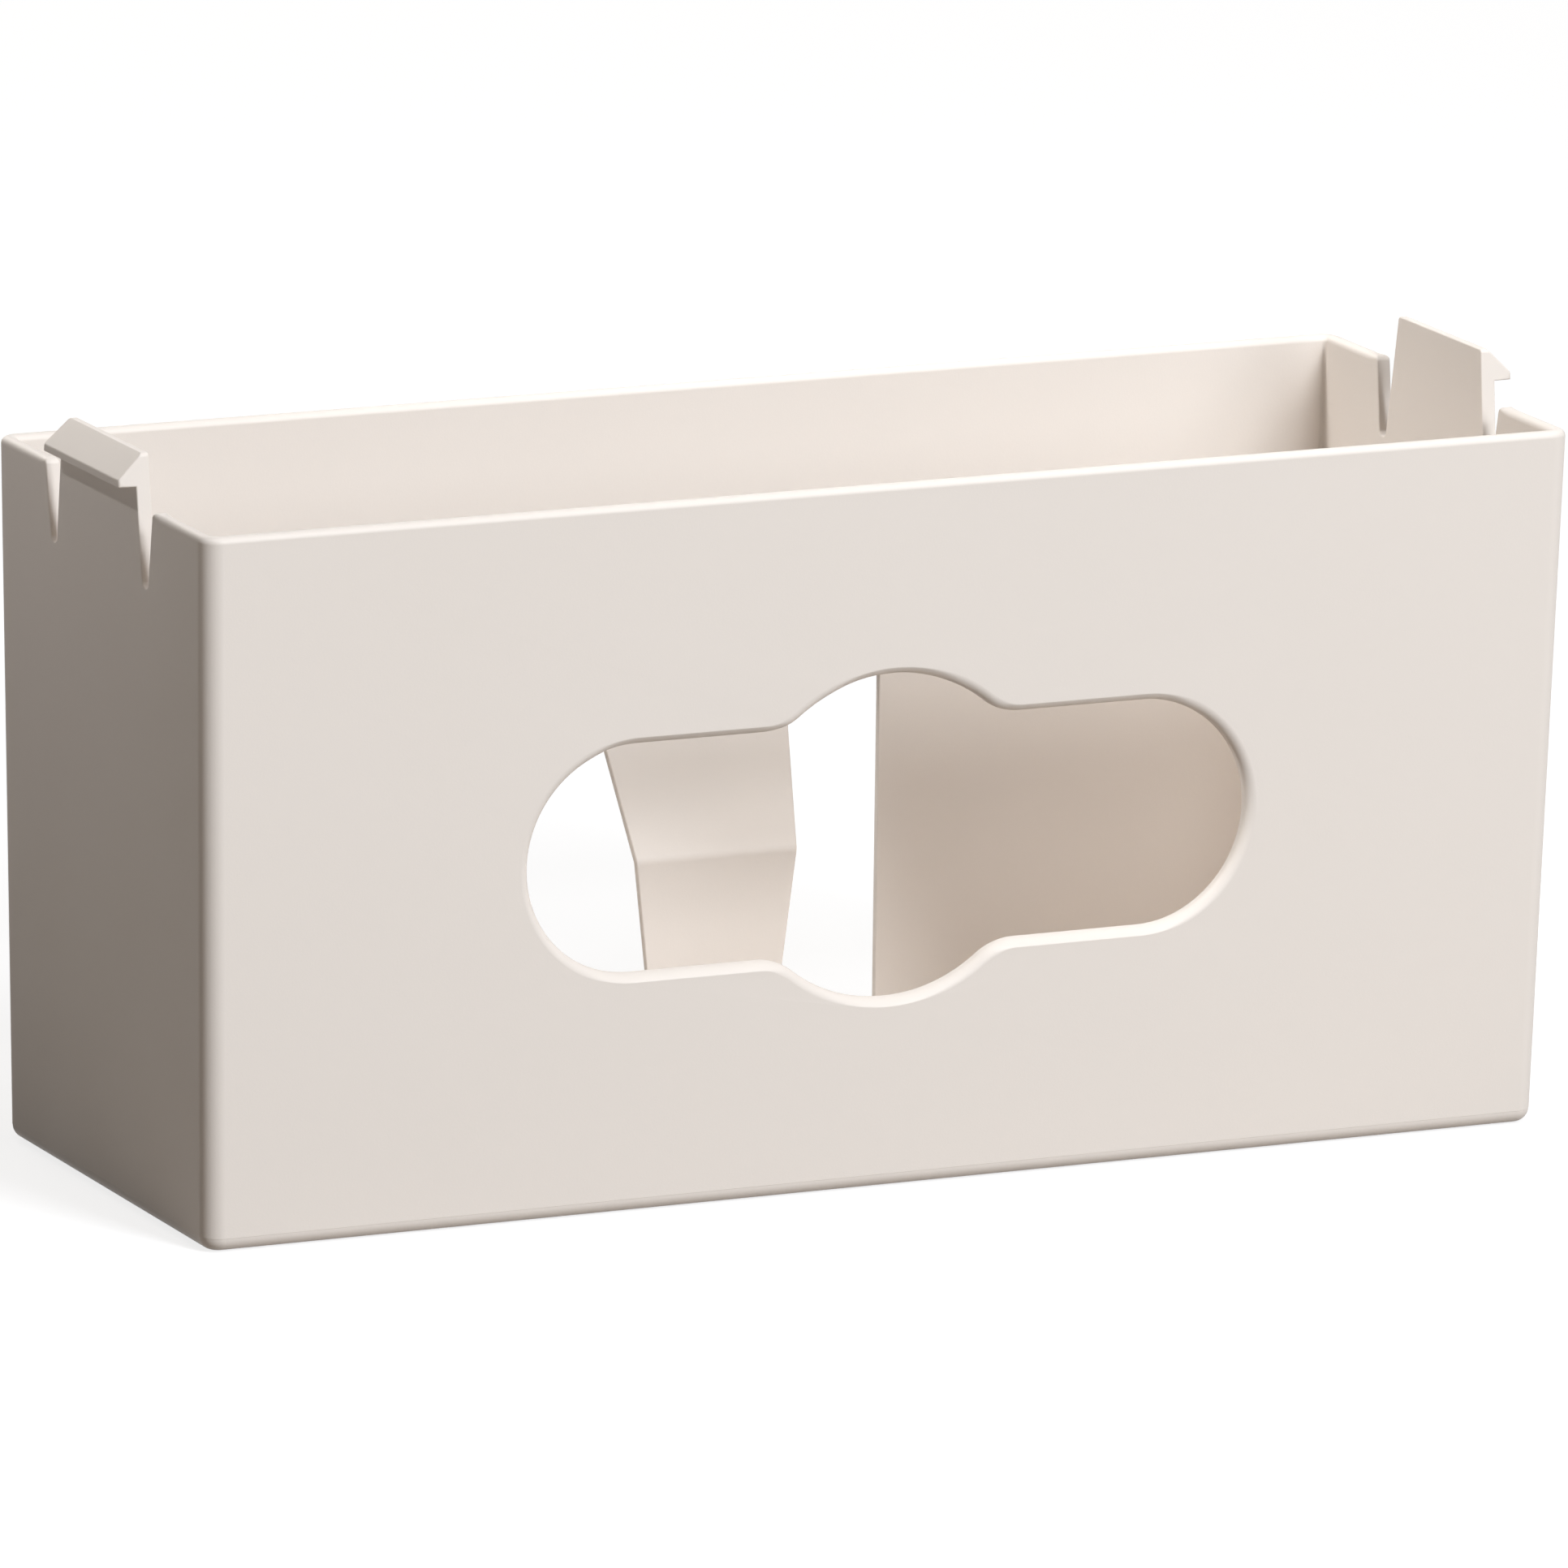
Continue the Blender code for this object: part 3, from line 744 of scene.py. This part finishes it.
def direction_to(place):
    """Unit vector towards a lamp, from its azimuth and elevation in degrees."""
    azimuth = math.radians(place[0])
    elevation = math.radians(place[1])
    return Vector((
        math.sin(azimuth) * math.cos(elevation),
        -math.cos(azimuth) * math.cos(elevation),
        math.sin(elevation),
    ))


def place_lamp(lamp, place, distance, target):
    """Put a lamp this far from its target and turn it to face it."""
    obj = bpy.data.objects.new(lamp.name, lamp)
    direction = direction_to(place)
    obj.location = target + direction * distance
    obj.rotation_euler = direction.to_track_quat("Z", "Y").to_euler()
    bpy.context.scene.collection.objects.link(obj)


def soft_lamp(name, place, width, power, colour):
    """Square soft box that faces the dispenser."""
    lamp = bpy.data.lights.new(name, "AREA")
    lamp.size = width
    lamp.energy = power
    lamp.color = colour
    place_lamp(lamp, place, LAMP_DISTANCE, Vector((0.0, 0.0, HEIGHT / 2)))


def add_lamps():
    """Tall key light in front, soft fills from above, the left and behind, and a spot into the right end."""
    for i, place in enumerate(KEY_PLACES):
        soft_lamp("key_" + str(i), place, KEY_WIDTH, KEY_POWERS[i], KEY_COLOUR)
    soft_lamp("top", TOP_PLACE, TOP_WIDTH, TOP_POWER, TOP_COLOUR)
    soft_lamp("left", LEFT_PLACE, LEFT_WIDTH, LEFT_POWER, LEFT_COLOUR)
    soft_lamp("back", BACK_PLACE, BACK_WIDTH, BACK_POWER, BACK_COLOUR)
    inside = bpy.data.lights.new("inside", "SPOT")
    inside.energy = INSIDE_POWER
    inside.spot_size = INSIDE_CONE
    inside.spot_blend = INSIDE_BLEND
    inside.shadow_soft_size = INSIDE_WIDTH
    place_lamp(inside, INSIDE_PLACE, INSIDE_DISTANCE, INSIDE_TARGET)


# Pale floor and white surroundings
FLOOR_HALF_SIZE = 6.0
FLOOR_GAP = 0.0002
FLOOR_BOUNCE_COLOUR = (0.31, 0.265, 0.225, 1.0)
FLOOR_SHADOW_COLOUR = (0.32, 0.32, 0.32, 1.0)
FLOOR_GLOW = 0.8
AMBIENT_COLOUR = (1.0, 0.85, 0.7, 1.0)
AMBIENT_STRENGTH = 0.05
WHITE = (1.0, 1.0, 1.0, 1.0)


def seen_directly(nodes, links):
    """1 for rays that look at the background straight, in a reflection or through glass, 0 for light."""
    path = nodes.new("ShaderNodeLightPath")
    total = path.outputs["Is Camera Ray"]
    for name in ("Is Glossy Ray", "Is Transmission Ray"):
        add = nodes.new("ShaderNodeMath")
        add.operation = "ADD"
        add.use_clamp = True
        links.new(total, add.inputs[0])
        links.new(path.outputs[name], add.inputs[1])
        total = add.outputs[0]
    return total


def add_floor():
    """Pale floor that looks white, takes the soft shadow and throws little light back up."""
    mesh_builder = bmesh.new()
    bmesh.ops.create_grid(mesh_builder, x_segments=1, y_segments=1, size=FLOOR_HALF_SIZE)
    floor = to_object("studio_floor", mesh_builder)
    material = bpy.data.materials.new("studio_floor")
    material.use_nodes = True
    nodes = material.node_tree.nodes
    links = material.node_tree.links
    nodes.remove(nodes["Principled BSDF"])
    bounce = nodes.new("ShaderNodeBsdfDiffuse")
    bounce.inputs["Color"].default_value = FLOOR_BOUNCE_COLOUR
    shadowed = nodes.new("ShaderNodeBsdfDiffuse")
    shadowed.inputs["Color"].default_value = FLOOR_SHADOW_COLOUR
    glow = nodes.new("ShaderNodeEmission")
    glow.inputs["Strength"].default_value = FLOOR_GLOW
    look = nodes.new("ShaderNodeAddShader")
    links.new(shadowed.outputs["BSDF"], look.inputs[0])
    links.new(glow.outputs["Emission"], look.inputs[1])
    mix = nodes.new("ShaderNodeMixShader")
    links.new(seen_directly(nodes, links), mix.inputs["Fac"])
    links.new(bounce.outputs["BSDF"], mix.inputs[1])
    links.new(look.outputs["Shader"], mix.inputs[2])
    links.new(mix.outputs["Shader"], nodes["Material Output"].inputs["Surface"])
    floor.data.materials.append(material)
    floor.location.z = -FLOOR_GAP


def set_world():
    """White surroundings that add only a little warm light."""
    world = bpy.data.worlds.new("studio")
    world.use_nodes = True
    nodes = world.node_tree.nodes
    links = world.node_tree.links
    light = nodes["Background"]
    light.inputs["Color"].default_value = AMBIENT_COLOUR
    light.inputs["Strength"].default_value = AMBIENT_STRENGTH
    backdrop = nodes.new("ShaderNodeBackground")
    backdrop.inputs["Color"].default_value = WHITE
    mix = nodes.new("ShaderNodeMixShader")
    links.new(seen_directly(nodes, links), mix.inputs["Fac"])
    links.new(light.outputs["Background"], mix.inputs[1])
    links.new(backdrop.outputs["Background"], mix.inputs[2])
    links.new(mix.outputs["Shader"], nodes["World Output"].inputs["Surface"])
    bpy.context.scene.world = world


build_moulding()
add_camera()
add_floor()
set_world()
add_lamps()
bpy.context.scene.view_settings.view_transform = "Standard"
